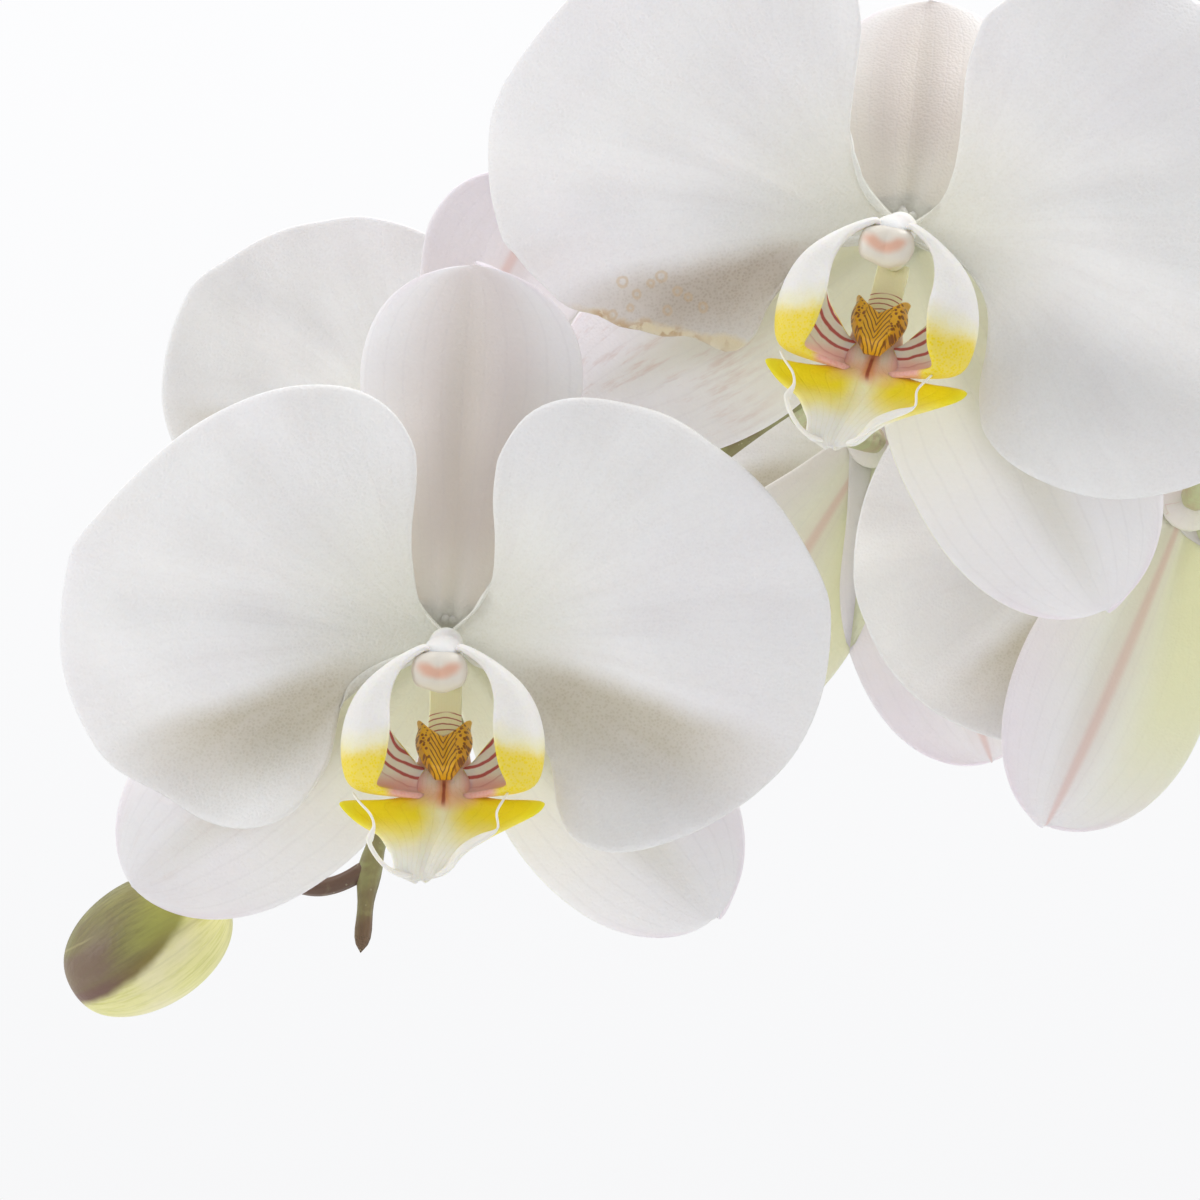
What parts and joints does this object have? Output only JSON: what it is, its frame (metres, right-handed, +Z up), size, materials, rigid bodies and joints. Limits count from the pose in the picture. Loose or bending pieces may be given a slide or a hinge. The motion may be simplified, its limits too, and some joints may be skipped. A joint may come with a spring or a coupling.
{
  "type": "potted moth orchid",
  "caption": "Potted moth orchid with white blooms, yellow lips and a bud on one arching spike, strap leaves, aerial roots and a plain pot of bark.",
  "frame": {"origin": "centre of the pot's flat base, on the surface it stands on", "axes": "+Z up, -Y towards the viewer of the front blooms, +X to that viewer's right; the spike arches towards -X"},
  "size_m": [0.4145, 0.1348, 0.533],
  "materials": {
    "pot_glaze": "gloss",
    "bark": "matte",
    "crown_green": "satin",
    "spike_green": "satin",
    "bud_skin": "satin",
    "pedicel_green": "satin",
    "leaf_green": "satin",
    "root_skin": "matte",
    "sepal_white": "matte",
    "petal_white": "matte",
    "column_white": "satin",
    "lip_yellow": "satin",
    "callus_ochre": "satin"
  },
  "bodies": {
    "root": {"bark_mix": "bark", "bloom_1_callus": "callus_ochre", "bloom_1_column": "column_white", "bloom_1_lip": "lip_yellow", "bloom_1_pedicel": "pedicel_green", "bloom_1_petals": "petal_white", "bloom_1_sepals": "sepal_white", "bloom_2_callus": "callus_ochre", "bloom_2_column": "column_white", "bloom_2_lip": "lip_yellow", "bloom_2_pedicel": "pedicel_green", "bloom_2_petals": "petal_white", "bloom_2_sepals": "sepal_white", "bloom_3_callus": "callus_ochre", "bloom_3_column": "column_white", "bloom_3_lip": "lip_yellow", "bloom_3_pedicel": "pedicel_green", "bloom_3_petals": "petal_white", "bloom_3_sepals": "sepal_white", "bloom_4_callus": "callus_ochre", "bloom_4_column": "column_white", "bloom_4_lip": "lip_yellow", "bloom_4_pedicel": "pedicel_green", "bloom_4_petals": "petal_white", "bloom_4_sepals": "sepal_white", "bloom_5_callus": "callus_ochre", "bloom_5_column": "column_white", "bloom_5_lip": "lip_yellow", "bloom_5_pedicel": "pedicel_green", "bloom_5_petals": "petal_white", "bloom_5_sepals": "sepal_white", "bloom_6_callus": "callus_ochre", "bloom_6_column": "column_white", "bloom_6_lip": "lip_yellow", "bloom_6_pedicel": "pedicel_green", "bloom_6_petals": "petal_white", "bloom_6_sepals": "sepal_white", "bud": "bud_skin", "bud_pedicel": "pedicel_green", "crown": "crown_green", "flower_spike": "spike_green", "leaf_1": "leaf_green", "leaf_2": "leaf_green", "leaf_3": "leaf_green", "leaf_4": "leaf_green", "leaf_5": "leaf_green", "leaf_6": "leaf_green", "pot": "pot_glaze", "root_1": "root_skin", "root_2": "root_skin", "root_3": "root_skin", "root_4": "root_skin"}
  },
  "joints": []
}
